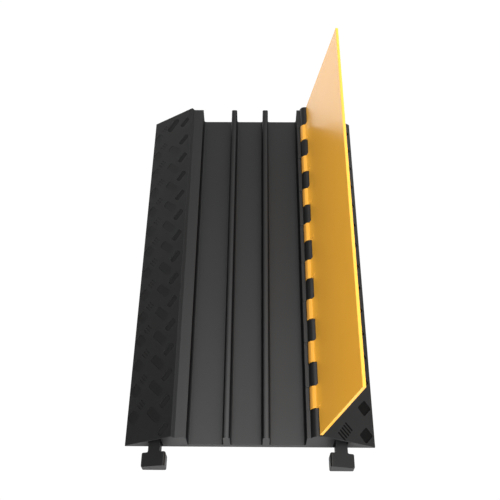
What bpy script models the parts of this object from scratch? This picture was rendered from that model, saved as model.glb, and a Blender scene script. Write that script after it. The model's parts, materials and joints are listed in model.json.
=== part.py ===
"""Floor cord cover: a rubber base with three cord channels, and a hinged plastic lid.

Metres, +Z up. X runs across the channels and Y along them. The origin is the middle of
the base's underside. The lid stands open, past upright, against its stop.
"""
import math

import bmesh
import bpy

# Whole cover
LENGTH = 0.843
WIDTH = 0.500
EDGE_HEIGHT = 0.0037
NEAR_END = -LENGTH / 2
FAR_END = LENGTH / 2

# Left ramp and the ledge behind its crest
CREST_X = -0.1518
CREST_HEIGHT = 0.0661
LEDGE_HEIGHT = 0.0586
LEFT_LEDGE_X = -0.1460

# Three channels between two ribs, and the right ledge
FLOOR_HEIGHT = 0.0139
CHANNELS = ((-0.1237, -0.0522), (-0.0388, 0.0254), (0.0388, 0.1110))
FLOOR_FILLET = 0.004
RIB_CHAMFER = 0.0022

# Hinge
AXIS_X = 0.131
AXIS_HEIGHT = 0.0585
BARREL_RADIUS = 0.012
RIDGE_HEIGHT = AXIS_HEIGHT + BARREL_RADIUS
RIDGE_X = 0.1427
KNUCKLE_PITCH = 0.0487
LID_KNUCKLES = tuple(step * KNUCKLE_PITCH for step in (-7, -5, -3, -1, 1, 3, 5, 7))
KNUCKLE_END_GAP = 0.0012
POCKET_CLEARANCE = 0.0009
ROD_RADIUS = 0.004
ROD_CLEARANCE = 0.0003
ROD_BLIND_END = 0.012
ROD_RECESS = 0.002

# Lid, as it lies when closed: along is measured from the hinge axis to its free edge
LID_ANGLE = math.radians(101.2)
LID_LENGTH = LENGTH - 0.004
LID_THICKNESS = 0.0060
LID_LIFT = 0.0004
LID_START = 0.0165
LID_REACH = 0.2748
LID_CHAMFER = 0.0011
STRAP_STEP = 0.0002
STRAP_WEDGE = 0.0026
STRAP_WEDGE_END = 0.050
STRAP_ROOT = 0.056
STOP_GAP = 0.00035
WEDGE_NOTCH = 0.0033

# T connectors under the near end, and the sockets for them under the far end
CONNECTORS = {"left": (-0.1880, 1), "right": (0.1806, -1)}
NECK_WIDTH = 0.0238
NECK_LENGTH = 0.0188
HEAD_WIDTH = 0.0480
HEAD_LENGTH = 0.0280
HEAD_CORNER = 0.0028
CONNECTOR_HIGH = 0.0335
CONNECTOR_LOW = 0.0210
CONNECTOR_FLAT = 0.0024
CONNECTOR_CHAMFER = 0.0026
CONNECTOR_ROOT = 0.016
SOCKET_CLEARANCE = 0.001
RECESS_DEPTH = 0.006
RECESS_SKIN = 0.003
RECESS_FLOOR = 0.002
RECESS_INNER = 0.0030
RECESS_OUTER = 0.0008

# How far a cutting tool stands clear of what it cuts
SPARE = 0.010

ROUND_SIDES = 32
BORE_SIDES = 24


def clear_scene():
    """Start from an empty file."""
    for thing in list(bpy.data.objects):
        bpy.data.objects.remove(thing, do_unlink=True)


def material(name, colour, roughness, metallic=0.0):
    """One Principled material in the piece's own colour."""
    made = bpy.data.materials.new(name)
    made.use_nodes = True
    shader = made.node_tree.nodes["Principled BSDF"]
    shader.inputs["Base Color"].default_value = (*colour, 1.0)
    shader.inputs["Roughness"].default_value = roughness
    shader.inputs["Metallic"].default_value = metallic
    return made


def mesh_object(name, shape, finish=None):
    """Turn a bmesh into a named object with outward faces."""
    bmesh.ops.recalc_face_normals(shape, faces=shape.faces)
    mesh = bpy.data.meshes.new(name)
    shape.to_mesh(mesh)
    shape.free()
    made = bpy.data.objects.new(name, mesh)
    bpy.context.scene.collection.objects.link(made)
    if finish:
        mesh.materials.append(finish)
        mesh.shade_smooth()
        mesh.set_sharp_from_angle(angle=math.radians(30))
    return made


def add_prism(shape, outline, near, far):
    """Add a bar along Y whose section is an outline of (x, z) points."""
    face = shape.faces.new([shape.verts.new((x, near, z)) for x, z in outline])
    swept = bmesh.ops.extrude_face_region(shape, geom=[face])
    moved = [item for item in swept["geom"] if isinstance(item, bmesh.types.BMVert)]
    bmesh.ops.translate(shape, verts=moved, vec=(0, far - near, 0))


def add_post(shape, outline, low, high):
    """Add an upright bar whose plan is an outline of (x, y) points."""
    face = shape.faces.new([shape.verts.new((x, y, low)) for x, y in outline])
    swept = bmesh.ops.extrude_face_region(shape, geom=[face])
    moved = [item for item in swept["geom"] if isinstance(item, bmesh.types.BMVert)]
    bmesh.ops.translate(shape, verts=moved, vec=(0, 0, high - low))


def arc(centre, radius, start, end, steps):
    """Points of an arc in degrees, both ends included."""
    angles = [math.radians(start + (end - start) * i / steps) for i in range(steps + 1)]
    return [(centre[0] + radius * math.cos(a), centre[1] + radius * math.sin(a)) for a in angles]


def circle(centre, radius, sides):
    """A closed round outline."""
    return arc(centre, radius, 0, 360, sides)[:-1]


def cutter(name, shape):
    """A tool body that only shapes its neighbour."""
    made = mesh_object(name, shape)
    made.hide_render = True
    made.display_type = "WIRE"
    return made


def apply_tool(target, tool, operation):
    """Cut a tool out of the target, or join it on."""
    step = target.modifiers.new(tool.name, "BOOLEAN")
    step.operation = operation
    step.solver = "EXACT"
    step.object = tool


def left_ramp_height(x):
    """Height of the left ramp's face above the floor."""
    slope = (CREST_HEIGHT - EDGE_HEIGHT) / (CREST_X + WIDTH / 2)
    return EDGE_HEIGHT + slope * (x + WIDTH / 2)


def right_ramp_height(x):
    """Height of the right ramp's face above the floor."""
    slope = (RIDGE_HEIGHT - EDGE_HEIGHT) / (WIDTH / 2 - RIDGE_X)
    return EDGE_HEIGHT + slope * (WIDTH / 2 - x)


def channel_outline(index):
    """Section of one channel from its right rim down and up to its left rim."""
    left, right = CHANNELS[index]
    low = FLOOR_HEIGHT + FLOOR_FILLET
    right_rim = [(right, LEDGE_HEIGHT)]
    if index < len(CHANNELS) - 1:
        right_rim = [(right + RIB_CHAMFER, LEDGE_HEIGHT), (right, LEDGE_HEIGHT - RIB_CHAMFER)]
    left_rim = [(left, LEDGE_HEIGHT)]
    if index > 0:
        left_rim = [(left, LEDGE_HEIGHT - RIB_CHAMFER), (left - RIB_CHAMFER, LEDGE_HEIGHT)]
    right_foot = arc((right - FLOOR_FILLET, low), FLOOR_FILLET, 0, -90, 4)
    left_foot = arc((left + FLOOR_FILLET, low), FLOOR_FILLET, -90, -180, 4)
    return right_rim + right_foot + left_foot + left_rim


def base_outline():
    """Section of the moulded base across its channels."""
    outline = [(-WIDTH / 2, 0), (WIDTH / 2, 0), (WIDTH / 2, EDGE_HEIGHT), (RIDGE_X, RIDGE_HEIGHT)]
    outline += arc((AXIS_X, AXIS_HEIGHT), BARREL_RADIUS, 90, 180, 8)[:-1]
    outline.append((AXIS_X - BARREL_RADIUS, LEDGE_HEIGHT))
    for index in reversed(range(len(CHANNELS))):
        outline += channel_outline(index)
    outline += [(LEFT_LEDGE_X, LEDGE_HEIGHT), (CREST_X, CREST_HEIGHT), (-WIDTH / 2, EDGE_HEIGHT)]
    return outline


def stop_lip():
    """How far right of the axis a pocket's lip stands, for an open strap to lean on."""
    top = LID_LIFT + LID_THICKNESS - STRAP_STEP
    along = (BARREL_RADIUS - top * math.cos(LID_ANGLE)) / math.sin(LID_ANGLE)
    return top * math.sin(LID_ANGLE) - along * math.cos(LID_ANGLE) + STOP_GAP


def knuckle_pockets():
    """Open-topped pockets for the lid's knuckles, with a shallow notch for each strap."""
    shape = bmesh.new()
    radius = BARREL_RADIUS + POCKET_CLEARANCE
    lip = stop_lip()
    above = 3 * SPARE
    lip_angle = math.degrees(math.acos(lip / radius))
    outline = arc((AXIS_X, AXIS_HEIGHT), radius, 180, 360 + lip_angle, ROUND_SIDES)
    outline.append((AXIS_X + lip, AXIS_HEIGHT + above))
    notch = LEDGE_HEIGHT - WEDGE_NOTCH
    rim = CHANNELS[-1][1] - 0.001
    outline += [(rim, AXIS_HEIGHT + above), (rim, notch)]
    outline.append((AXIS_X - math.sqrt(radius**2 - (AXIS_HEIGHT - notch)**2), notch))
    outline = [point for point in outline if not is_above_notch(point, notch, radius)]
    for middle in LID_KNUCKLES:
        add_prism(shape, outline, middle - KNUCKLE_PITCH / 2, middle + KNUCKLE_PITCH / 2)
    return cutter("knuckle_pocket_tool", shape)


def is_above_notch(point, notch, radius):
    """True for the few arc points that the notch has already cut away."""
    on_arc = abs(math.hypot(point[0] - AXIS_X, point[1] - AXIS_HEIGHT) - radius) < 1e-6
    return on_arc and point[0] < AXIS_X and point[1] > notch + 1e-6


def rod_bore():
    """Bore for the hinge rod, blind at the near end and open at the far end."""
    shape = bmesh.new()
    outline = circle((AXIS_X, AXIS_HEIGHT), ROD_RADIUS + ROD_CLEARANCE, BORE_SIDES)
    add_prism(shape, outline, NEAR_END + ROD_BLIND_END, FAR_END + SPARE)
    return cutter("rod_bore_tool", shape)


def connector_outline(middle, grow=0.0, root=CONNECTOR_ROOT):
    """Outline of a T connector seen from above, from its root to its head, near end at Y 0."""
    neck = NECK_WIDTH / 2 + grow
    head = HEAD_WIDTH / 2 + grow
    back = -NECK_LENGTH + grow
    front = -NECK_LENGTH - HEAD_LENGTH - grow
    turn = HEAD_CORNER
    right = [(neck, root), (neck, back + turn)]
    right += arc((neck + turn, back + turn), turn, 180, 270, 4)[1:]
    right += arc((head - turn, back - turn), turn, 90, 0, 4)
    right += arc((head - turn, front + turn), turn, 0, -90, 4)
    left = [(-x, y) for x, y in reversed(right)]
    return [(middle + x, y) for x, y in right + left]


def connector_top(middle, inward, grow=0.0):
    """Section of what a T keeps: all below its slope to the outer side, its flat and its chamfer."""
    half = HEAD_WIDTH / 2
    high = CONNECTOR_HIGH + grow
    flat_end = half - CONNECTOR_CHAMFER
    flat_start = flat_end - CONNECTOR_FLAT
    slope = (CONNECTOR_HIGH - CONNECTOR_LOW) / (half + flat_start)
    outer, inner = -half - SPARE, flat_end + SPARE
    outline = [(outer, high - slope * (flat_start - outer)), (flat_start, high), (flat_end, high)]
    outline += [(inner, high - SPARE), (inner, -SPARE), (outer, -SPARE)]
    return [(middle + inward * x, z) for x, z in outline]


def connector_tool(name, end, grow=0.0, bottom=0.0, root=CONNECTOR_ROOT):
    """Both T bodies at one end of the cover, standing up from the bottom to their tops."""
    shape = bmesh.new()
    tops = bmesh.new()
    reach = NECK_LENGTH + HEAD_LENGTH + SPARE
    for middle, inward in CONNECTORS.values():
        outline = [(x, y + end) for x, y in connector_outline(middle, grow, root)]
        add_post(shape, outline, bottom, CONNECTOR_HIGH + SPARE)
        add_prism(tops, connector_top(middle, inward, grow), end - reach, end + root + SPARE)
    made = cutter(name, shape)
    apply_tool(made, cutter(name + "_top", tops), "INTERSECT")
    return made


def connectors():
    """Both T connectors, rooted in the near end."""
    return connector_tool("connector_tool", NEAR_END)


def sockets():
    """Sockets at the far end for the connectors of the next cover, open below."""
    return connector_tool("socket_tool", FAR_END, SOCKET_CLEARANCE, -SPARE / 2, SPARE)


def neck_recesses():
    """Recess in the near end face round each connector's neck, under the ramp's skin."""
    shape = bmesh.new()
    ramps = {"left": left_ramp_height, "right": right_ramp_height}
    for side, (middle, inward) in CONNECTORS.items():
        inner = middle + inward * (NECK_WIDTH / 2 + RECESS_INNER)
        outer = middle - inward * (NECK_WIDTH / 2 + RECESS_OUTER)
        height = ramps[side]
        outline = [(inner, RECESS_FLOOR), (outer, RECESS_FLOOR)]
        outline += [(outer, height(outer) - RECESS_SKIN), (inner, height(inner) - RECESS_SKIN)]
        add_prism(shape, outline, NEAR_END - SPARE, NEAR_END + RECESS_DEPTH)
    return cutter("neck_recess_tool", shape)


def make_base(finish):
    """The moulded rubber base, with its channels, hinge pockets, connectors and sockets."""
    shape = bmesh.new()
    add_prism(shape, base_outline(), NEAR_END, FAR_END)
    base = mesh_object("base", shape, finish)
    apply_tool(base, knuckle_pockets(), "DIFFERENCE")
    apply_tool(base, rod_bore(), "DIFFERENCE")
    apply_tool(base, neck_recesses(), "DIFFERENCE")
    apply_tool(base, connectors(), "UNION")
    apply_tool(base, sockets(), "DIFFERENCE")
    return base


def lid_plate_outline():
    """Section of the closed lid's plate about the hinge axis."""
    low, high = LID_LIFT, LID_LIFT + LID_THICKNESS
    start, end, cut = -LID_START, -LID_REACH, LID_CHAMFER
    return [
        (start, low + cut), (start, high - cut), (start - cut, high), (end + cut, high),
        (end, high - cut), (end, low + cut), (end + cut, low), (start - cut, low),
    ]


def lid_knuckle_outline():
    """Section of a knuckle: the barrel, and the strap that runs from it into the plate."""
    top = LID_LIFT + LID_THICKNESS - STRAP_STEP
    upper = math.degrees(math.asin(top / BARREL_RADIUS))
    lower = math.degrees(math.asin(STRAP_WEDGE / BARREL_RADIUS))
    outline = arc((0, 0), BARREL_RADIUS, 180 - upper, -180 + lower, ROUND_SIDES - 4)
    foot_x, foot_z = outline[-1]
    rise = (LID_LIFT - foot_z) / (STRAP_WEDGE_END + foot_x)
    root_z = LID_LIFT + rise * (STRAP_ROOT - STRAP_WEDGE_END)
    outline += [(-STRAP_ROOT, root_z), (-STRAP_ROOT, LID_LIFT + LID_THICKNESS / 2)]
    outline.append((-LID_START - LID_THICKNESS, top))
    return outline


def make_lid(finish):
    """The moulded lid: one plate with its hinge knuckles, turned to its open position."""
    plate = bmesh.new()
    add_prism(plate, lid_plate_outline(), -LID_LENGTH / 2, LID_LENGTH / 2)
    lid = mesh_object("lid", plate, finish)
    half = KNUCKLE_PITCH / 2 - KNUCKLE_END_GAP
    knuckles = bmesh.new()
    for middle in LID_KNUCKLES:
        add_prism(knuckles, lid_knuckle_outline(), middle - half, middle + half)
    bore = bmesh.new()
    outline = circle((0, 0), ROD_RADIUS + ROD_CLEARANCE, BORE_SIDES)
    add_prism(bore, outline, -LENGTH / 2, LENGTH / 2)
    tools = ((cutter("lid_knuckle_tool", knuckles), "UNION"), (cutter("lid_bore_tool", bore), "DIFFERENCE"))
    for tool, operation in tools:
        tool.parent = lid
        apply_tool(lid, tool, operation)
    lid.location = (AXIS_X, 0, AXIS_HEIGHT)
    lid.rotation_euler = (0, LID_ANGLE, 0)
    return lid


def make_hinge_rod(finish):
    """The steel rod through all the knuckles."""
    shape = bmesh.new()
    start = NEAR_END + ROD_BLIND_END + 0.0005
    add_prism(shape, circle((0, 0), ROD_RADIUS, BORE_SIDES), start, FAR_END - ROD_RECESS)
    rod = mesh_object("hinge_rod", shape, finish)
    rod.location = (AXIS_X, 0, AXIS_HEIGHT)
    return rod


def main():
    """Build the cover."""
    clear_scene()
    rubber = material("black_rubber", (0.022, 0.022, 0.024), 0.62)
    plastic = material("yellow_plastic", (0.82, 0.42, 0.05), 0.42)
    steel = material("bright_steel", (0.56, 0.57, 0.58), 0.35, 1.0)
    make_base(rubber)
    make_lid(plastic)
    make_hinge_rod(steel)


main()
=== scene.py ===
# %% [markdown]
# # A floor cord cover with a hinged lid
#
# The cover lies on a floor and lets wheels roll over cords. It has a black rubber base with
# two ramps and three channels, a yellow plastic lid on eight knuckles, and a steel hinge rod.
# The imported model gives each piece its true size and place. This file gives them their
# finish: softened edges, the tread on the ramps, and materials with the grain of the real
# surfaces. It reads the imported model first, and measures it instead of guessing sizes.

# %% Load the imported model
import json
import math

import bmesh
import bpy
from mathutils import Matrix, Vector


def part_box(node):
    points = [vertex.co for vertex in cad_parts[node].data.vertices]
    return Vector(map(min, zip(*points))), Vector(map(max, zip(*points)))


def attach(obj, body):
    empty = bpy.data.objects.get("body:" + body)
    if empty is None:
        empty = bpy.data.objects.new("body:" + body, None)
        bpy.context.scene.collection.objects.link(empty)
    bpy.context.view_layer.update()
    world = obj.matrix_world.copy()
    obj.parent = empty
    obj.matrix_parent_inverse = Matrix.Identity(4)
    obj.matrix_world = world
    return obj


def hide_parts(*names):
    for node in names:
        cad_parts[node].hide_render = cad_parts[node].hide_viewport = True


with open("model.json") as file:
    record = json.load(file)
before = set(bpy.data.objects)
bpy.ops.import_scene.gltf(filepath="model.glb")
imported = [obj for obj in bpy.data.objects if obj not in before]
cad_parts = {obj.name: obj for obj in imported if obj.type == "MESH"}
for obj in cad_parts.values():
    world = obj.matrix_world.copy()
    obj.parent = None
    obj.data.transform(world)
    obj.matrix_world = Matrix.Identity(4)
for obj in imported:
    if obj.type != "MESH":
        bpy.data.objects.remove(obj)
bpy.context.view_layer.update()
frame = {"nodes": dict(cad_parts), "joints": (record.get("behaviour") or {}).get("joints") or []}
print("nodes:", sorted(frame["nodes"]))

# %% [markdown]
# ## The camera
#
# The picture was taken from in front of the near end and well above it, looking down along
# the channels. A long lens far away would make the ramps look parallel; here they close in
# towards the top, so the camera stands near and the lens is a short telephoto. Its place and
# its three angles are real sizes, and the rotation is built from the direction it looks in.

# %% Camera
CAMERA_PLACE = Vector((0.0115, -0.8555, 1.4572))
CAMERA_YAW = math.radians(-0.96)
CAMERA_PITCH = math.radians(58.385)
CAMERA_ROLL = math.radians(0.559)
CAMERA_LENS = 52.87


def camera_turn(yaw, pitch, roll):
    """Rotation of a camera that looks along +Y, turned by yaw, tipped down by pitch and rolled."""
    ahead = Vector((math.sin(yaw) * math.cos(pitch), math.cos(yaw) * math.cos(pitch), -math.sin(pitch)))
    across = ahead.cross(Vector((0, 0, 1))).normalized()
    down = ahead.cross(across)
    right = across * math.cos(roll) + down * math.sin(roll)
    up = across * math.sin(roll) - down * math.cos(roll)
    return Matrix((right, up, -ahead)).transposed()


lens = bpy.data.cameras.new("camera")
lens.lens = CAMERA_LENS
camera = bpy.data.objects.new("camera", lens)
camera.matrix_world = Matrix.Translation(CAMERA_PLACE) @ camera_turn(
    CAMERA_YAW, CAMERA_PITCH, CAMERA_ROLL).to_4x4()
bpy.context.scene.collection.objects.link(camera)
bpy.context.scene.camera = camera
print("camera lens, mm:", lens.lens)

# %% [markdown]
# ## Node helpers
#
# Materials, the sky and the Geometry Nodes trees are all node trees. A few small helpers keep
# them short: they add a node with its values, join two sockets, start a material, and start a
# node group with named sockets.

# %% Add a node, join two sockets


def fill(node, values):
    """Set a node's input values by name or number, and return the node."""
    for name, value in values.items():
        node.inputs[name].default_value = value
    return node


def add(tree, kind, values=None, **settings):
    """Add a node, set its own settings, then its input values by name or number."""
    made = tree.nodes.new(kind)
    for name, value in settings.items():
        setattr(made, name, value)
    return fill(made, values or {})


def join(tree, source, target):
    """Join an output socket to an input socket."""
    tree.links.new(source, target)


# %% Start a material, start a node group


def new_material(name, values):
    """New material and its Principled shader, with the shader's constant values."""
    made = bpy.data.materials.new(name)
    made.use_nodes = True
    return made, fill(made.node_tree.nodes["Principled BSDF"], values)


def new_group(name, kind, inputs, outputs):
    """Empty node group whose sockets are given as names by their type."""
    tree = bpy.data.node_groups.new(name, kind)
    for way, sockets in (("INPUT", inputs), ("OUTPUT", outputs)):
        for socket_kind, names in sockets.items():
            for socket in names:
                tree.interface.new_socket(name=socket, in_out=way, socket_type="NodeSocket" + socket_kind)
    return tree


# %% [markdown]
# ## Floor
#
# The cover lies on a plain floor that is pure white in the picture, without a shadow, as in a
# catalogue. A white floor lit by lamps would show a grey shadow and would throw too much light
# up at the black end faces. So the floor is grey for everything that it lights, with a glow
# that grows towards the back, where the far part of the lid mirrors it. A Light Path node puts
# plain white in its place for the camera alone.

# %% Floor
FLOOR_HALF = 12.0
FLOOR_DROP = 0.0004
FLOOR_GREY = 0.36
GLOW_START = -0.30
GLOW_END = 0.55
FRONT_GLOW = 0.09
BACK_GLOW = 0.60
SEEN_WHITE = 1.02

floor_mesh = bpy.data.meshes.new("floor")
corners = [(x * FLOOR_HALF, y * FLOOR_HALF, -FLOOR_DROP) for x, y in ((-1, -1), (1, -1), (1, 1), (-1, 1))]
floor_mesh.from_pydata(corners, [], [(0, 1, 2, 3)])
floor = bpy.data.objects.new("floor", floor_mesh)
bpy.context.scene.collection.objects.link(floor)
floor_paint, floor_shader = new_material("floor_paint", {
    "Base Color": (FLOOR_GREY, FLOOR_GREY, FLOOR_GREY, 1), "Roughness": 1.0,
    "Specular IOR Level": 0.0, "Emission Color": (1, 1, 1, 1)})
floor_tree = floor_paint.node_tree
along = add(floor_tree, "ShaderNodeSeparateXYZ")
join(floor_tree, add(floor_tree, "ShaderNodeTexCoord").outputs["Object"], along.inputs[0])
floor_glow = add(floor_tree, "ShaderNodeMapRange", {
    "From Min": GLOW_START, "From Max": GLOW_END, "To Min": FRONT_GLOW, "To Max": BACK_GLOW})
join(floor_tree, along.outputs["Y"], floor_glow.inputs["Value"])
join(floor_tree, floor_glow.outputs[0], floor_shader.inputs["Emission Strength"])
white = add(floor_tree, "ShaderNodeEmission", {"Color": (1, 1, 1, 1), "Strength": SEEN_WHITE})
chosen = add(floor_tree, "ShaderNodeMixShader")
join(floor_tree, add(floor_tree, "ShaderNodeLightPath").outputs["Is Camera Ray"], chosen.inputs["Fac"])
join(floor_tree, floor_shader.outputs[0], chosen.inputs[1])
join(floor_tree, white.outputs[0], chosen.inputs[2])
join(floor_tree, chosen.outputs[0], floor_tree.nodes["Material Output"].inputs["Surface"])
floor_mesh.materials.append(floor_paint)
print("floor, m:", 2 * FLOOR_HALF)

# %% [markdown]
# ## Sky
#
# Black rubber shows little more than what it mirrors, so the light is a dark sky with soft
# patches, like the lamps of a studio. Each patch is a direction, a sharpness and a strength:
# it is brightest along its direction and fades by a power of the cosine. The narrow patch
# overhead shades the channels from grey near the camera to black at the far end. The patch
# high in front lights the lid's free edge, and low ones on the sides light its inner face.
# The camera itself sees the same white as on the floor, so that the picture has no horizon.

# %% Sky
SKY_PATCHES = (
    ((0.07, 0.0, 0.998), 20.0, 5.98),
    ((0.0, 0.309, 0.951), 40.0, 0.79),
    ((0.0, -0.643, 0.766), 14.0, 7.90),
    ((0.673, -0.673, 0.309), 10.0, 6.09),
    ((-0.673, -0.673, 0.309), 10.0, 2.99),
    ((0.455, 0.455, 0.766), 14.0, 0.62),
    ((0.673, 0.673, 0.309), 10.0, 0.88),
    ((0.0, 0.951, 0.309), 10.0, 0.90),
    ((-0.673, 0.673, 0.309), 10.0, 0.23),
)

world = bpy.data.worlds.new("studio")
world.use_nodes = True
bpy.context.scene.world = world
sky = world.node_tree
sky.nodes.clear()
direction = add(sky, "ShaderNodeTexCoord").outputs["Generated"]
brightness = add(sky, "ShaderNodeValue").outputs[0]
brightness.default_value = 0.0
for centre, sharpness, strength in SKY_PATCHES:
    facing = add(sky, "ShaderNodeVectorMath", {1: Vector(centre).normalized()}, operation="DOT_PRODUCT")
    join(sky, direction, facing.inputs[0])
    inside = add(sky, "ShaderNodeMath", {1: 0.0}, operation="MAXIMUM")
    join(sky, facing.outputs["Value"], inside.inputs[0])
    soft = add(sky, "ShaderNodeMath", {1: sharpness}, operation="POWER")
    join(sky, inside.outputs[0], soft.inputs[0])
    more = add(sky, "ShaderNodeMath", {1: strength}, operation="MULTIPLY_ADD")
    join(sky, soft.outputs[0], more.inputs[0])
    join(sky, brightness, more.inputs[2])
    brightness = more.outputs[0]
seen = add(sky, "ShaderNodeMix", {"B": SEEN_WHITE})
join(sky, add(sky, "ShaderNodeLightPath").outputs["Is Camera Ray"], seen.inputs["Factor"])
join(sky, brightness, seen.inputs["A"])
glow = add(sky, "ShaderNodeBackground", {"Color": (1, 1, 1, 1)})
join(sky, seen.outputs["Result"], glow.inputs["Strength"])
join(sky, glow.outputs[0], add(sky, "ShaderNodeOutputWorld").inputs["Surface"])
bpy.context.scene.view_settings.view_transform = "Standard"
print("sky patches:", len(SKY_PATCHES))

# %% [markdown]
# ## Grain of moulded surfaces
#
# Rubber and plastic both take the texture of their mould: a fine grain, and broad patches
# that are a little duller or darker where the material flowed or has been handled. One shader
# group holds that grain for every moulded material, so that all of them read the same scale
# of detail, and each material mixes it with its own colours and roughness.

# %% Shader group for the grain


def grain_group():
    """Group that puts out a fine height, and broad tone and dullness from 0 to 1."""
    tree = new_group("moulded_grain", "ShaderNodeTree", {"Float": ("Grain Scale", "Patch Scale")},
                     {"Float": ("Height", "Tone", "Dullness")})
    given = add(tree, "NodeGroupInput").outputs
    out = add(tree, "NodeGroupOutput").inputs
    place = add(tree, "ShaderNodeTexCoord").outputs["Object"]
    grain = add(tree, "ShaderNodeTexNoise", {"Detail": 3.0, "Roughness": 0.6})
    tone = add(tree, "ShaderNodeTexNoise", {"Detail": 4.0, "Roughness": 0.55})
    dull = add(tree, "ShaderNodeTexNoise", {"Detail": 2.0, "Roughness": 0.5, "Distortion": 0.6})
    for noise, scale in ((grain, "Grain Scale"), (tone, "Patch Scale"), (dull, "Patch Scale")):
        join(tree, place, noise.inputs["Vector"])
        join(tree, given[scale], noise.inputs["Scale"])
    for noise, name in ((grain, "Height"), (tone, "Tone"), (dull, "Dullness")):
        join(tree, noise.outputs["Fac"], out[name])
    return tree


GRAIN = grain_group()
print("grain group sockets:", [item.name for item in GRAIN.interface.items_tree])

# %% [markdown]
# ## Moulded materials
#
# A moulded material is one Principled shader. Its colour runs between two close colours with
# the patches, its roughness between two values, and the grain lifts the surface a little
# through a Bump node. Only the numbers differ, so one function makes them all.

# %% Material maker
GRAIN_SCALE = 900.0
PATCH_SCALE = 9.0
GRAIN_HEIGHT = 0.0004


def moulded(name, dark, light, roughness, bump, gloss):
    """Material with two colours and two roughness values that the grain group blends."""
    made, shader = new_material(name, {"Specular IOR Level": gloss})
    tree = made.node_tree
    scales = {"Grain Scale": GRAIN_SCALE, "Patch Scale": PATCH_SCALE}
    grain = add(tree, "ShaderNodeGroup", scales, node_tree=GRAIN)
    blend = add(tree, "ShaderNodeMix", {"A": (*dark, 1), "B": (*light, 1)}, data_type="RGBA")
    join(tree, grain.outputs["Tone"], blend.inputs["Factor"])
    join(tree, blend.outputs["Result"], shader.inputs["Base Color"])
    spread = add(tree, "ShaderNodeMapRange", {"To Min": roughness[0], "To Max": roughness[1]})
    join(tree, grain.outputs["Dullness"], spread.inputs["Value"])
    join(tree, spread.outputs[0], shader.inputs["Roughness"])
    lift = add(tree, "ShaderNodeBump", {"Strength": bump, "Distance": GRAIN_HEIGHT})
    join(tree, grain.outputs["Height"], lift.inputs["Height"])
    join(tree, lift.outputs[0], shader.inputs["Normal"])
    return made


# %% [markdown]
# ## Finishes of the rubber and the plastic
#
# The base is one rubber and the lid one plastic, but neither is equally smooth all over. Where
# a mould is hard to polish, as on the walls of a channel or in a tread mark, the rubber comes
# out dull. The tops of the ribs are glossier, because cords slide over them. The step below
# the left crest and the feet of the walls are a much lighter rubber: painted light, as they
# catch light from the sky and the channel floors. The lid's free edge is lighter than its face:
# a painted highlight where light falls from above. The barrels are a little rougher, and their
# colour is darker, most on the side towards the channels: painted shade. A row of the table
# gives each finish two colours, a span of roughness, the bump and the gloss.

# %% Table of finishes
FINISH_LOOKS = {
    "black_rubber": ((0.0025, 0.0025, 0.0026), (0.0035, 0.0035, 0.0035), (0.38, 0.46), 0.25, 0.50),
    "wall_rubber": ((0.0040, 0.0045, 0.0057), (0.0050, 0.0055, 0.0067), (0.70, 0.80), 0.30, 0.10),
    "connector_rubber": ((0.0025, 0.0025, 0.0026), (0.0035, 0.0035, 0.0035), (0.38, 0.46), 0.25, 0.42),
    "rib_rubber": ((0.0020, 0.0020, 0.0020), (0.0030, 0.0030, 0.0030), (0.30, 0.36), 0.25, 0.56),
    # Much lighter rubber for the step and the wall feet: painted light, not a finish of the mould.
    "painted_light_rubber": ((0.0180, 0.0190, 0.0200), (0.0220, 0.0230, 0.0240), (0.80, 0.90), 0.30, 0.05),
    "soft_mark": ((0.0014, 0.0014, 0.0014), (0.0022, 0.0022, 0.0022), (0.36, 0.43), 0.20, 0.48),
    "bar_mark": ((0.0062, 0.0062, 0.0062), (0.0077, 0.0077, 0.0077), (0.65, 0.75), 0.50, 0.14),
    "deep_mark": ((0.0035, 0.0035, 0.0035), (0.0045, 0.0045, 0.0045), (0.80, 0.90), 0.50, 0.05),
    "yellow_plastic": ((0.840, 0.400, 0.038), (0.880, 0.425, 0.042), (0.22, 0.28), 0.05, 0.60),
    # Lighter plastic on the upward free edge: a painted highlight from the light above.
    "edge_highlight_plastic": ((0.870, 0.435, 0.046), (0.910, 0.455, 0.050), (0.22, 0.28), 0.05, 0.60),
    # Darker barrel colour is painted shade; the higher roughness is the dull finish where they turn.
    "barrel_shade_plastic": ((0.700, 0.345, 0.044), (0.740, 0.365, 0.048), (0.26, 0.34), 0.10, 0.50),
    # Much darker plastic on the barrel sides towards the channels: painted shade, not soil.
    "barrel_side_shade_plastic": ((0.460, 0.215, 0.034), (0.500, 0.235, 0.038), (0.34, 0.42), 0.20, 0.50),
}
FINISHES = {name: moulded(name, *look) for name, look in FINISH_LOOKS.items()}
print("finishes:", list(FINISHES))

# %% [markdown]
# ## The moulded tread
#
# Both ramps carry sunken marks that give tyres a grip: diamonds near the outer edge, short
# grooves above them, long marks half way up, and slanted bars below the crest. Every mark
# returns each 56 mm along the cover. Cutting each by hand would be slow and easy to get
# wrong, so one Geometry Nodes tree makes a whole row of cutters from named sizes. A rounded
# rectangle is swept along a short spine into a block that narrows to its foot. The block is
# repeated across its group and then along the row, and the row is laid on its ramp.

# %% Small helpers for vectors and sums in a tree


def combine(tree, **parts):
    """A vector whose X, Y or Z parts are output sockets, and 0 where none is given."""
    vector = add(tree, "ShaderNodeCombineXYZ")
    for axis, source in parts.items():
        join(tree, source, vector.inputs[axis])
    return vector.outputs[0]


def maths(tree, operation, first, second):
    """One Math node whose inputs are sockets or numbers."""
    made = add(tree, "ShaderNodeMath", operation=operation)
    for number, value in enumerate((first, second)):
        if isinstance(value, (int, float)):
            made.inputs[number].default_value = value
        else:
            join(tree, value, made.inputs[number])
    return made.outputs[0]


# %% One cutter of the tread
FOOT_STARTS = 0.9


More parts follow.
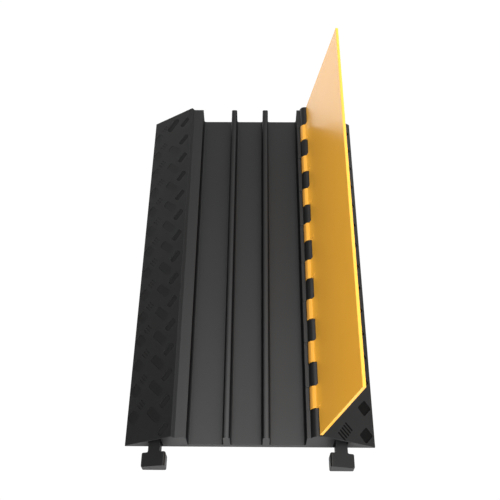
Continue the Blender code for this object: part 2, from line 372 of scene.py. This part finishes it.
def tread_mark(tree, given):
    """Rounded rectangle swept down a spine and narrowed to its foot, and a mask of the foot."""
    outline = add(tree, "GeometryNodeCurvePrimitiveQuadrilateral")
    join(tree, given["Width"], outline.inputs["Width"])
    join(tree, given["Length"], outline.inputs["Height"])
    rounded = add(tree, "GeometryNodeFilletCurve", {"Count": 3}, mode="POLY")
    join(tree, outline.outputs[0], rounded.inputs["Curve"])
    join(tree, given["Corner"], rounded.inputs["Radius"])
    foot = maths(tree, "MULTIPLY", given["Depth"], -1.0)
    spine = add(tree, "GeometryNodeCurvePrimitiveLine")
    join(tree, combine(tree, Z=foot), spine.inputs["Start"])
    join(tree, combine(tree, Z=given["Depth"]), spine.inputs["End"])
    height = add(tree, "ShaderNodeSeparateXYZ")
    join(tree, add(tree, "GeometryNodeInputPosition").outputs[0], height.inputs[0])
    share = add(tree, "ShaderNodeMapRange", {"From Max": 0.0, "To Max": 1.0}, clamp=False)
    join(tree, height.outputs["Z"], share.inputs["Value"])
    join(tree, foot, share.inputs["From Min"])
    join(tree, given["Foot Share"], share.inputs["To Min"])
    block = add(tree, "GeometryNodeCurveToMesh", {"Fill Caps": True})
    join(tree, spine.outputs[0], block.inputs["Curve"])
    join(tree, rounded.outputs[0], block.inputs["Profile Curve"])
    join(tree, share.outputs[0], block.inputs["Scale"])
    marked = add(tree, "GeometryNodeCaptureAttribute", domain="FACE")
    marked.capture_items.new("BOOLEAN", "foot")
    join(tree, block.outputs[0], marked.inputs[0])
    foot_start = maths(tree, "MULTIPLY", foot, FOOT_STARTS)
    join(tree, maths(tree, "LESS_THAN", height.outputs["Z"], foot_start), marked.inputs[1])
    return marked.outputs[0], marked.outputs[1]


# %% A row of cutters, laid on a ramp


def repeat(tree, piece, count, start, step):
    """Instances of a piece on a straight line of points."""
    points = add(tree, "GeometryNodeMeshLine")
    join(tree, count, points.inputs["Count"])
    join(tree, start, points.inputs["Start Location"])
    join(tree, step, points.inputs["Offset"])
    copies = add(tree, "GeometryNodeInstanceOnPoints")
    join(tree, points.outputs[0], copies.inputs["Points"])
    join(tree, piece, copies.inputs["Instance"])
    return copies.outputs[0]


def place(tree, piece, turn, shift=None):
    """Turn a piece, and move it if a shift is given."""
    made = add(tree, "GeometryNodeTransform")
    join(tree, piece, made.inputs["Geometry"])
    join(tree, turn, made.inputs["Rotation"])
    if shift:
        join(tree, shift, made.inputs["Translation"])
    return made.outputs[0]


def paint(tree, piece, finish, mask=None):
    """Give a piece, or the faces in a mask, a material."""
    made = add(tree, "GeometryNodeSetMaterial")
    join(tree, piece, made.inputs["Geometry"])
    join(tree, finish, made.inputs["Material"])
    if mask:
        join(tree, mask, made.inputs["Selection"])
    return made.outputs[0]


# %% The whole tread tree
TREAD_SIZES = {"Float": ("Length", "Width", "Corner", "Depth", "Foot Share", "Turn", "Groove Pitch",
                         "Mark Pitch", "First Mark", "Up Slope", "Ramp Turn"),
               "Int": ("Grooves", "Marks"), "Vector": ("Ramp Foot", "Ramp Heading"),
               "Material": ("Wall Finish", "Foot Finish")}


def tread_tree():
    """The whole tree: a mark, its group, its row, and the row on its ramp."""
    tree = new_group("tread_row", "GeometryNodeTree", TREAD_SIZES, {"Geometry": ("Cutters",)})
    given = add(tree, "NodeGroupInput").outputs
    mark, foot_mask = tread_mark(tree, given)
    span = maths(tree, "MULTIPLY", maths(tree, "SUBTRACT", given["Grooves"], 1.0), given["Groove Pitch"])
    group = repeat(tree, mark, given["Grooves"], combine(tree, X=maths(tree, "MULTIPLY", span, -0.5)),
                   combine(tree, X=given["Groove Pitch"]))
    group = place(tree, group, combine(tree, Z=given["Turn"]))
    row = repeat(tree, group, given["Marks"], combine(tree, X=given["Up Slope"], Y=given["First Mark"]),
                 combine(tree, Y=given["Mark Pitch"]))
    row = place(tree, row, combine(tree, Y=given["Ramp Turn"]))
    row = place(tree, row, given["Ramp Heading"], given["Ramp Foot"])
    real = add(tree, "GeometryNodeRealizeInstances")
    join(tree, row, real.inputs[0])
    walls = paint(tree, real.outputs[0], given["Wall Finish"])
    join(tree, paint(tree, walls, given["Foot Finish"], foot_mask), add(tree, "NodeGroupOutput").inputs[0])
    return tree


TREAD = tread_tree()
print("tread tree nodes:", len(TREAD.nodes))

# %% Turn what modifiers and trees show into plain mesh


def plain_mesh(piece):
    """Apply a piece's modifiers: replace its mesh by what they show, and remove them."""
    graph = bpy.context.evaluated_depsgraph_get()
    made = bpy.data.meshes.new_from_object(piece.evaluated_get(graph), depsgraph=graph)
    piece.modifiers.clear()
    piece.data = made
    return piece


def grown(piece, tree, given):
    """Run a Geometry Nodes tree on a piece with named values, and keep the plain mesh."""
    nodes = piece.modifiers.new(tree.name, "NODES")
    nodes.node_group = tree
    for socket in tree.interface.items_tree:
        if socket.name in given:
            nodes[socket.identifier] = given[socket.name]
    return plain_mesh(piece)


# %% [markdown]
# ## Sizes of the rows
#
# Places on a ramp are given as the distance up its slope from the outer edge, and as Y for the
# first mark of the row. The right ramp's rows are the left ramp's turned half round, which
# changes the sign of Y and of each mark's turn. Most marks on the left ramp are shallow with a
# smooth foot, and the bars below its crest are deeper and dull. On the right ramp all marks are
# deep and dull. Where the open lid hides that ramp, its rows follow the left ramp's.

# %% Tread rows
MARK_PITCH = 0.0562
WALL_LEAN = 0.8
RAMPS = {
    "left": {"edge": (-0.250, 0.0037), "top": (-0.1518, 0.0661), "hand": 1},
    "right": {"edge": (0.250, 0.0037), "top": (0.1427, 0.0705), "hand": -1},
}
ROW_FIELDS = ("name", "up", "first", "marks", "length", "width", "corner", "turn", "grooves", "pitch",
              "depth", "finish")
TREAD_ROWS = {
    "left": (
        ("diamonds", 0.0165, -0.366, 14, 0.0245, 0.0225, 0.0045, 45, 1, 0, 0.0005, "soft_mark"),
        ("short_grooves", 0.034, -0.343, 14, 0.0150, 0.0028, 0.0008, 45, 3, 0.0066, 0.0007, "soft_mark"),
        ("long_marks", 0.069, -0.370, 13, 0.0400, 0.0180, 0.0060, 47, 1, 0, 0.0005, "soft_mark"),
        ("end_mark", 0.0584, 0.390, 1, 0.0400, 0.0190, 0.0070, -45, 1, 0, 0.0012, "bar_mark"),
        ("slanted_bars", 0.0955, -0.403, 15, 0.0290, 0.0150, 0.0050, -45, 1, 0, 0.0012, "bar_mark"),
    ),
    "right": (
        ("diamonds", 0.0210, -0.401, 15, 0.0270, 0.0225, 0.0035, 45, 1, 0, 0.0016, "deep_mark"),
        ("short_grooves", 0.045, -0.314, 13, 0.0150, 0.0028, 0.0008, 45, 3, 0.0066, 0.0016, "deep_mark"),
        ("groove_groups", 0.0734, -0.402, 15, 0.0215, 0.0041, 0.0008, -50, 5, 0.0073, 0.0030, "deep_mark"),
        ("slanted_bars", 0.103, -0.321, 13, 0.0310, 0.0130, 0.0030, -45, 1, 0, 0.0016, "deep_mark"),
    ),
}


# %% Cutters of every row


def row_cutters(side, row):
    """Object with all the cutters of one row of tread marks."""
    size = dict(zip(ROW_FIELDS, row))
    edge, top, hand = (RAMPS[side][name] for name in ("edge", "top", "hand"))
    slope = math.atan2(top[1] - edge[1], abs(top[0] - edge[0]))
    given = {
        "Length": size["length"], "Width": size["width"], "Corner": size["corner"],
        "Depth": size["depth"], "Foot Share": 1 - size["depth"] / size["width"] * WALL_LEAN,
        "Turn": hand * math.radians(size["turn"]),
        "Grooves": size["grooves"], "Groove Pitch": float(size["pitch"]), "Marks": size["marks"],
        "Mark Pitch": hand * MARK_PITCH, "First Mark": hand * size["first"], "Up Slope": size["up"],
        "Ramp Turn": -slope, "Ramp Heading": (0.0, 0.0, 0.0 if hand > 0 else math.pi),
        "Ramp Foot": (edge[0], 0.0, edge[1]), "Foot Finish": FINISHES[size["finish"]],
        "Wall Finish": FINISHES["bar_mark" if side == "left" else "deep_mark"],
    }
    name = f"{side}_{size['name']}"
    made = bpy.data.objects.new(name, bpy.data.meshes.new(name))
    bpy.context.scene.collection.objects.link(made)
    return grown(made, TREAD, given)


cutters = [row_cutters(side, row) for side, rows in TREAD_ROWS.items() for row in rows]
print("tread cutters:", {piece.name: len(piece.data.polygons) for piece in cutters})

# %% [markdown]
# ## The base
#
# The base is one rubber moulding, so its finished piece starts as a copy of the imported solid.
# That mesh is loose triangles: its corners are merged and its flat faces joined again, or a
# bevel would soften edges that aren't there. The crest of the left ramp and the foot of its
# step are rounded first, with a wider curve. A narrow bevel then rounds every sharp edge, as
# rubber never leaves a mould with a knife edge. Behind the near end face a gap runs round the
# root of each connector's neck. It is too narrow for two bevels, so its edges stay crisp. Last,
# a Boolean cuts the tread into both ramps.
#
# A test on each face's normal and middle picks the faces of each finish, so the finishes stay
# apart from the shape: dull walls, a step and feet lightened with painted light, duller
# connectors, and glossier rib tops.

# %% Copy a imported solid
MERGE_REACH = 0.00001
FLAT_ANGLE = math.radians(0.5)
CREASES = (math.radians(13), math.radians(50))


def packed_copy(node, name):
    """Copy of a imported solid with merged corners, whole flat faces and crisp shallow creases."""
    made = bpy.data.objects.new(name, frame["nodes"][node].data.copy())
    bpy.context.scene.collection.objects.link(made)
    shape = bmesh.new()
    shape.from_mesh(made.data)
    bmesh.ops.remove_doubles(shape, verts=shape.verts, dist=MERGE_REACH)
    bmesh.ops.dissolve_limit(shape, angle_limit=FLAT_ANGLE, verts=shape.verts, edges=shape.edges)
    for edge in shape.edges:
        edge.smooth = not CREASES[0] < edge.calc_face_angle(0) < CREASES[1]
    shape.to_mesh(made.data)
    shape.free()
    return made


# %% Round edges
LINE_REACH = 0.0003


def round_line(piece, x, z, width):
    """Round the long edges that run along Y at one place of the section."""
    shape = bmesh.new()
    shape.from_mesh(piece.data)
    line = [edge for edge in shape.edges
            if all(abs(end.co.x - x) < LINE_REACH and abs(end.co.z - z) < LINE_REACH for end in edge.verts)]
    bmesh.ops.bevel(shape, geom=line, offset=width, segments=4, profile=0.5, affect="EDGES",
                    clamp_overlap=True)
    shape.to_mesh(piece.data)
    shape.free()
    print("rounded edges:", len(line), "at x, mm:", round(1000 * x, 1))


def soften(piece, width, sharpest, crisp=(0, 0)):
    """Round edges sharper than an angle in degrees, but for those between two places of Y."""
    shape = bmesh.new()
    shape.from_mesh(piece.data)
    weight = shape.edges.layers.float.new("bevel_weight_edge")
    for edge in shape.edges:
        middle = sum(end.co.y for end in edge.verts) / 2
        edge[weight] = edge.calc_face_angle(0) > math.radians(sharpest) and not crisp[0] < middle < crisp[1]
    shape.to_mesh(piece.data)
    shape.free()
    bevel = piece.modifiers.new("soft_edges", "BEVEL")
    bevel.width = width
    bevel.segments = 2
    bevel.limit_method = "WEIGHT"
    bevel.use_clamp_overlap = False
    plain_mesh(piece)
    piece.data.attributes.remove(piece.data.attributes["bevel_weight_edge"])
    return piece


# %% Shading


def shade(piece, sharpest=50):
    """Shade smooth across soft edges and flat across large faces, up to an angle in degrees."""
    shape = bmesh.new()
    shape.from_mesh(piece.data)
    for edge in shape.edges:
        edge.smooth = edge.smooth and edge.calc_face_angle(0) < math.radians(sharpest)
    for face in shape.faces:
        face.smooth = True
    shape.to_mesh(piece.data)
    shape.free()
    weight = piece.modifiers.new("face_weight", "WEIGHTED_NORMAL")
    weight.keep_sharp = True
    return plain_mesh(piece)


# %% Finishes by face


def finish_faces(piece, tests):
    """Give finishes to the faces for which tests of the face's normal and middle hold, in turn."""
    for wanted, name in tests:
        if name not in piece.data.materials:
            piece.data.materials.append(FINISHES[name])
        found = [face for face in piece.data.polygons if wanted(face.normal, face.center)]
        for face in found:
            face.material_index = piece.data.materials.find(name)
        print(name, "faces:", len(found))


# %% Which faces of the base have a finish of their own
CHANNELS = (-0.141, 0.112)
WALL_NORMALS = (-0.9, 0.6)
STEP = (-0.1527, -0.1445)
STEP_NORMALS_FROM = -0.3
LEDGE_CLEAR = 0.0595
LEDGE_FLAT = 0.98
FOOT_NORMALS = (0.35, 0.9)
FEET_BELOW = 0.02
CONNECTORS_BEFORE = -0.4217
RIBS = (-0.053, 0.04)
RIB_TOPS_ABOVE = 0.0563


def on_wall(normal, at):
    """Walls of the channels: the faces that look well to the left or well to the right."""
    return not WALL_NORMALS[0] < normal.x < WALL_NORMALS[1] and CHANNELS[0] < at.x < CHANNELS[1]


def on_step(normal, at):
    """The step below the left crest and its two rounded edges, without the flat ledge."""
    off_ledge = at.z > LEDGE_CLEAR or normal.z < LEDGE_FLAT
    return normal.x > STEP_NORMALS_FROM and STEP[0] < at.x < STEP[1] and off_ledge


def on_foot(normal, at):
    """Hollow feet of the walls that look towards the hinge."""
    return FOOT_NORMALS[0] < normal.x < FOOT_NORMALS[1] and at.z < FEET_BELOW and abs(at.x) < -CHANNELS[0]


def on_connector(normal, at):
    """Both T connectors, as far as they stand out of the near end face."""
    return at.y < CONNECTORS_BEFORE


def on_rib_top(normal, at):
    """Tops of the two ribs between the channels."""
    return normal.x < WALL_NORMALS[1] and at.z > RIB_TOPS_ABOVE and RIBS[0] < at.x < RIBS[1]


BASE_FINISHES = (
    (on_wall, "wall_rubber"),
    # The step and the hollow wall feet take a lighter rubber: painted light that they catch from the sky
    # and the channel floors.
    (on_step, "painted_light_rubber"),
    (on_foot, "painted_light_rubber"),
    (on_connector, "connector_rubber"),
    (on_rib_top, "rib_rubber"),
)
print("finishes of parts of the base:", [name for _, name in BASE_FINISHES])

# %% The base piece
EDGE_ROUND = 0.0005
CREST_ROUND = 0.0012
STEP_FOOT = (-0.1460, 0.0586)
STEP_HOLLOW = 0.0010
NECK_GAP = (-0.4213, -0.4150)

base = packed_copy("base", "rubber_base")
base.data.materials.clear()
base.data.materials.append(FINISHES["black_rubber"])
round_line(base, *RAMPS["left"]["top"], CREST_ROUND)
round_line(base, *STEP_FOOT, STEP_HOLLOW)
soften(base, EDGE_ROUND, sharpest=50, crisp=NECK_GAP)
finish_faces(base, BASE_FINISHES)

# %% Cut the tread into the base
tread = bpy.data.collections.new("tread_cutters")
for piece in cutters:
    tread.objects.link(piece)
cut = base.modifiers.new("tread", "BOOLEAN")
cut.operation = "DIFFERENCE"
cut.solver = "EXACT"
cut.operand_type = "COLLECTION"
cut.collection = tread
cut.material_mode = "TRANSFER"
plain_mesh(base)
for piece in cutters:
    bpy.data.objects.remove(piece)
shade(base)
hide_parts("base")
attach(base, "base")
print("base faces:", len(base.data.polygons), "materials:", [m.name for m in base.data.materials])

# %% [markdown]
# ## The lid
#
# The lid is one plastic moulding: a flat plate with eight knuckles, whose straps run out over
# the plate's inner face and fade into it in a hollow curve. It could be a softened copy of the
# imported solid, as the base is, but a bevel pulls creases across a large thin plate. So the
# plate and one knuckle are drawn anew from their sections, lying closed about the hinge axis.
# A Geometry Nodes tree repeats the knuckle, a Boolean joins it all, and the lid is then opened.
# Its free edge is a little lighter than the plate: a painted highlight where light falls from
# above. The barrels are a little rougher where they turn in the base, and their colour is
# darker, most on the side that looks towards the channels: painted shade.

# %% Lid sizes
HINGE = frame["joints"][0]
HINGE_PLACE = Vector(HINGE["pos_m"])
OPEN_ANGLE = math.radians(-HINGE["range_deg"][0])
LID_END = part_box("lid")[1].y
LID_LOW = 0.0004
LID_HIGH = 0.0064
LID_START = 0.0165
LID_REACH = 0.2748
BARREL = 0.0120
BORE = 0.0043
STRAP_TOP = 0.0062
STRAP_RISE = 0.0026
STRAP_END = 0.0500
STRAP_SUNK = 0.00005
KNUCKLE_HALF = 0.02315
KNUCKLE_STEP = 0.0974
KNUCKLES = 8
print("lid opens by, degrees:", round(math.degrees(OPEN_ANGLE), 1))

# %% Sections of the plate and of a knuckle


def arc(centre, radius, start, end, steps):
    """Points of an arc from one angle to another, both ends included."""
    angles = [start + (end - start) * step / steps for step in range(steps + 1)]
    return [(centre[0] + radius * math.cos(a), centre[1] + radius * math.sin(a)) for a in angles]


def plate_outline(corner=0.0011):
    """Rounded section of the plate, from its hinge edge to its free edge."""
    near, far = -LID_START - corner, -LID_REACH + corner
    low, high = LID_LOW + corner, LID_HIGH - corner
    outline = []
    for number, centre in enumerate(((near, high), (far, high), (far, low), (near, low))):
        outline += arc(centre, corner, math.pi / 2 * number, math.pi / 2 * (number + 1), 4)
    return outline


def knuckle_outline(barrel_steps=44, strap_steps=12):
    """Section of a knuckle: its barrel, and a strap that thins in a hollow curve to the plate."""
    start = math.pi - math.asin(STRAP_TOP / BARREL)
    end = math.asin(STRAP_RISE / BARREL) - math.pi
    outline = arc((0, 0), BARREL, start, end, barrel_steps)
    root_x, root_z = outline[-1]
    inside = LID_LOW + STRAP_SUNK
    for step in range(1, strap_steps + 1):
        left = 1 - step / strap_steps
        outline.append((-STRAP_END + (root_x + STRAP_END) * left, inside + (root_z - inside) * left**2))
    outline.append((-LID_START - LID_HIGH, STRAP_TOP))
    return outline


def bar(name, outline, half_length):
    """Closed bar along Y with the section that an outline of (x, z) points gives."""
    shape = bmesh.new()
    face = shape.faces.new([shape.verts.new((x, -half_length, z)) for x, z in outline])
    swept = bmesh.ops.extrude_face_region(shape, geom=[face])
    moved = [item for item in swept["geom"] if isinstance(item, bmesh.types.BMVert)]
    bmesh.ops.translate(shape, verts=moved, vec=(0, 2 * half_length, 0))
    bmesh.ops.recalc_face_normals(shape, faces=shape.faces)
    mesh = bpy.data.meshes.new(name)
    shape.to_mesh(mesh)
    shape.free()
    made = bpy.data.objects.new(name, mesh)
    bpy.context.scene.collection.objects.link(made)
    return made


def join_shape(piece, tool, operation):
    """Join a tool to a piece, or cut it out, and remove the tool."""
    step = piece.modifiers.new(tool.name, "BOOLEAN")
    step.operation = operation
    step.solver = "EXACT"
    step.object = tool
    plain_mesh(piece)
    bpy.data.objects.remove(tool)


# %% A tree that repeats a piece along the hinge
ROW_SIZES = {"Geometry": ("Piece",), "Int": ("Count",), "Float": ("First", "Pitch"),
             "Material": ("Finish",)}


def row_tree():
    """Repeat the object's own mesh along Y, as plain mesh with one finish."""
    tree = new_group("row_along_y", "GeometryNodeTree", ROW_SIZES, {"Geometry": ("Row",)})
    given = add(tree, "NodeGroupInput").outputs
    row = repeat(tree, given["Piece"], given["Count"], combine(tree, Y=given["First"]),
                 combine(tree, Y=given["Pitch"]))
    real = add(tree, "GeometryNodeRealizeInstances")
    join(tree, row, real.inputs[0])
    join(tree, paint(tree, real.outputs[0], given["Finish"]), add(tree, "NodeGroupOutput").inputs[0])
    return tree


ROW = row_tree()
print("row tree nodes:", len(ROW.nodes))

# %% Which faces of the open lid have a finish of their own
FREE_EDGE_ABOVE = 0.3
FACES_UP = 0.5
FACES_CHANNELS = -0.6
BARREL_REACH = BARREL + 0.0002


def on_free_edge(normal, at):
    """The long edge that stands uppermost while the lid is open."""
    return normal.z > FACES_UP and at.z > FREE_EDGE_ABOVE


def on_barrel(normal, at):
    """The barrels round the hinge axis, with their ends and bores."""
    return math.hypot(at.x - HINGE_PLACE.x, at.z - HINGE_PLACE.z) < BARREL_REACH


# The faces chosen here are painted darker: painted shade beside the wall of the ledge.
def on_shaded_side(normal, at):
    """The side of the barrels that looks towards the channels."""
    return on_barrel(normal, at) and normal.x < FACES_CHANNELS


LID_FINISHES = (
    # The free edge is lighter: a painted highlight where light falls from above.
    (on_free_edge, "edge_highlight_plastic"),
    # The barrels are darker in colour: painted shade, with a slightly rougher finish.
    (on_barrel, "barrel_shade_plastic"),
    # The barrel sides towards the channels are darkest: painted shade.
    (on_shaded_side, "barrel_side_shade_plastic"),
)
print("finishes of parts of the lid:", [name for _, name in LID_FINISHES])

# %% The knuckles of the lid
KNUCKLE_ROUND = 0.0007

knuckles = bar("lid_knuckle", knuckle_outline(), KNUCKLE_HALF)
bore = bar("lid_bore", arc((0, 0), BORE, 0, math.tau, 24)[:-1], 2 * KNUCKLE_HALF)
join_shape(knuckles, bore, "DIFFERENCE")
soften(knuckles, KNUCKLE_ROUND, sharpest=60)
first_knuckle = -KNUCKLE_STEP * (KNUCKLES - 1) / 2
grown(knuckles, ROW, {
    "Count": KNUCKLES, "First": first_knuckle, "Pitch": KNUCKLE_STEP,
    "Finish": FINISHES["yellow_plastic"]})
print("knuckle faces:", len(knuckles.data.polygons))

# %% The lid piece
lid = bar("plastic_lid", plate_outline(), LID_END)
lid.data.materials.append(FINISHES["yellow_plastic"])
soften(lid, EDGE_ROUND, sharpest=60)
join_shape(lid, knuckles, "UNION")
lid.data.transform(Matrix.Translation(HINGE_PLACE) @ Matrix.Rotation(OPEN_ANGLE, 4, "Y"))
finish_faces(lid, LID_FINISHES)
shade(lid, sharpest=35)
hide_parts("lid")
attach(lid, "lid")
print("lid faces:", len(lid.data.polygons), "materials:", [m.name for m in lid.data.materials])

# %% [markdown]
# ## The hinge rod
#
# The rod is bright drawn steel. It shows only between the knuckles and at the far end, so the
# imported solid's shape is enough. Drawing a bar through a die leaves fine lines along it, which
# a noise stretched along Y gives: they change the roughness, and lift the surface a little.

# %% Drawn steel


def drawn_steel():
    """Bright steel with fine lines along Y."""
    made, shader = new_material("drawn_steel", {"Metallic": 1.0})
    tree = made.node_tree
    stretch = add(tree, "ShaderNodeMapping", {"Scale": (1.0, 0.02, 1.0)})
    join(tree, add(tree, "ShaderNodeTexCoord").outputs["Object"], stretch.inputs["Vector"])
    lines = add(tree, "ShaderNodeTexNoise", {"Scale": 2500.0, "Detail": 2.0})
    join(tree, stretch.outputs[0], lines.inputs["Vector"])
    greys = {"A": (0.50, 0.51, 0.52, 1), "B": (0.60, 0.60, 0.60, 1)}
    tone = add(tree, "ShaderNodeMix", greys, data_type="RGBA")
    join(tree, lines.outputs["Fac"], tone.inputs["Factor"])
    join(tree, tone.outputs["Result"], shader.inputs["Base Color"])
    spread = add(tree, "ShaderNodeMapRange", {"To Min": 0.22, "To Max": 0.42})
    join(tree, lines.outputs["Fac"], spread.inputs["Value"])
    join(tree, spread.outputs[0], shader.inputs["Roughness"])
    lift = add(tree, "ShaderNodeBump", {"Strength": 0.2, "Distance": 0.0001})
    join(tree, lines.outputs["Fac"], lift.inputs["Height"])
    join(tree, lift.outputs[0], shader.inputs["Normal"])
    return made


frame["nodes"]["hinge_rod"].material_slots[0].material = drawn_steel()
print("rod finish:", frame["nodes"]["hinge_rod"].material_slots[0].material.name)
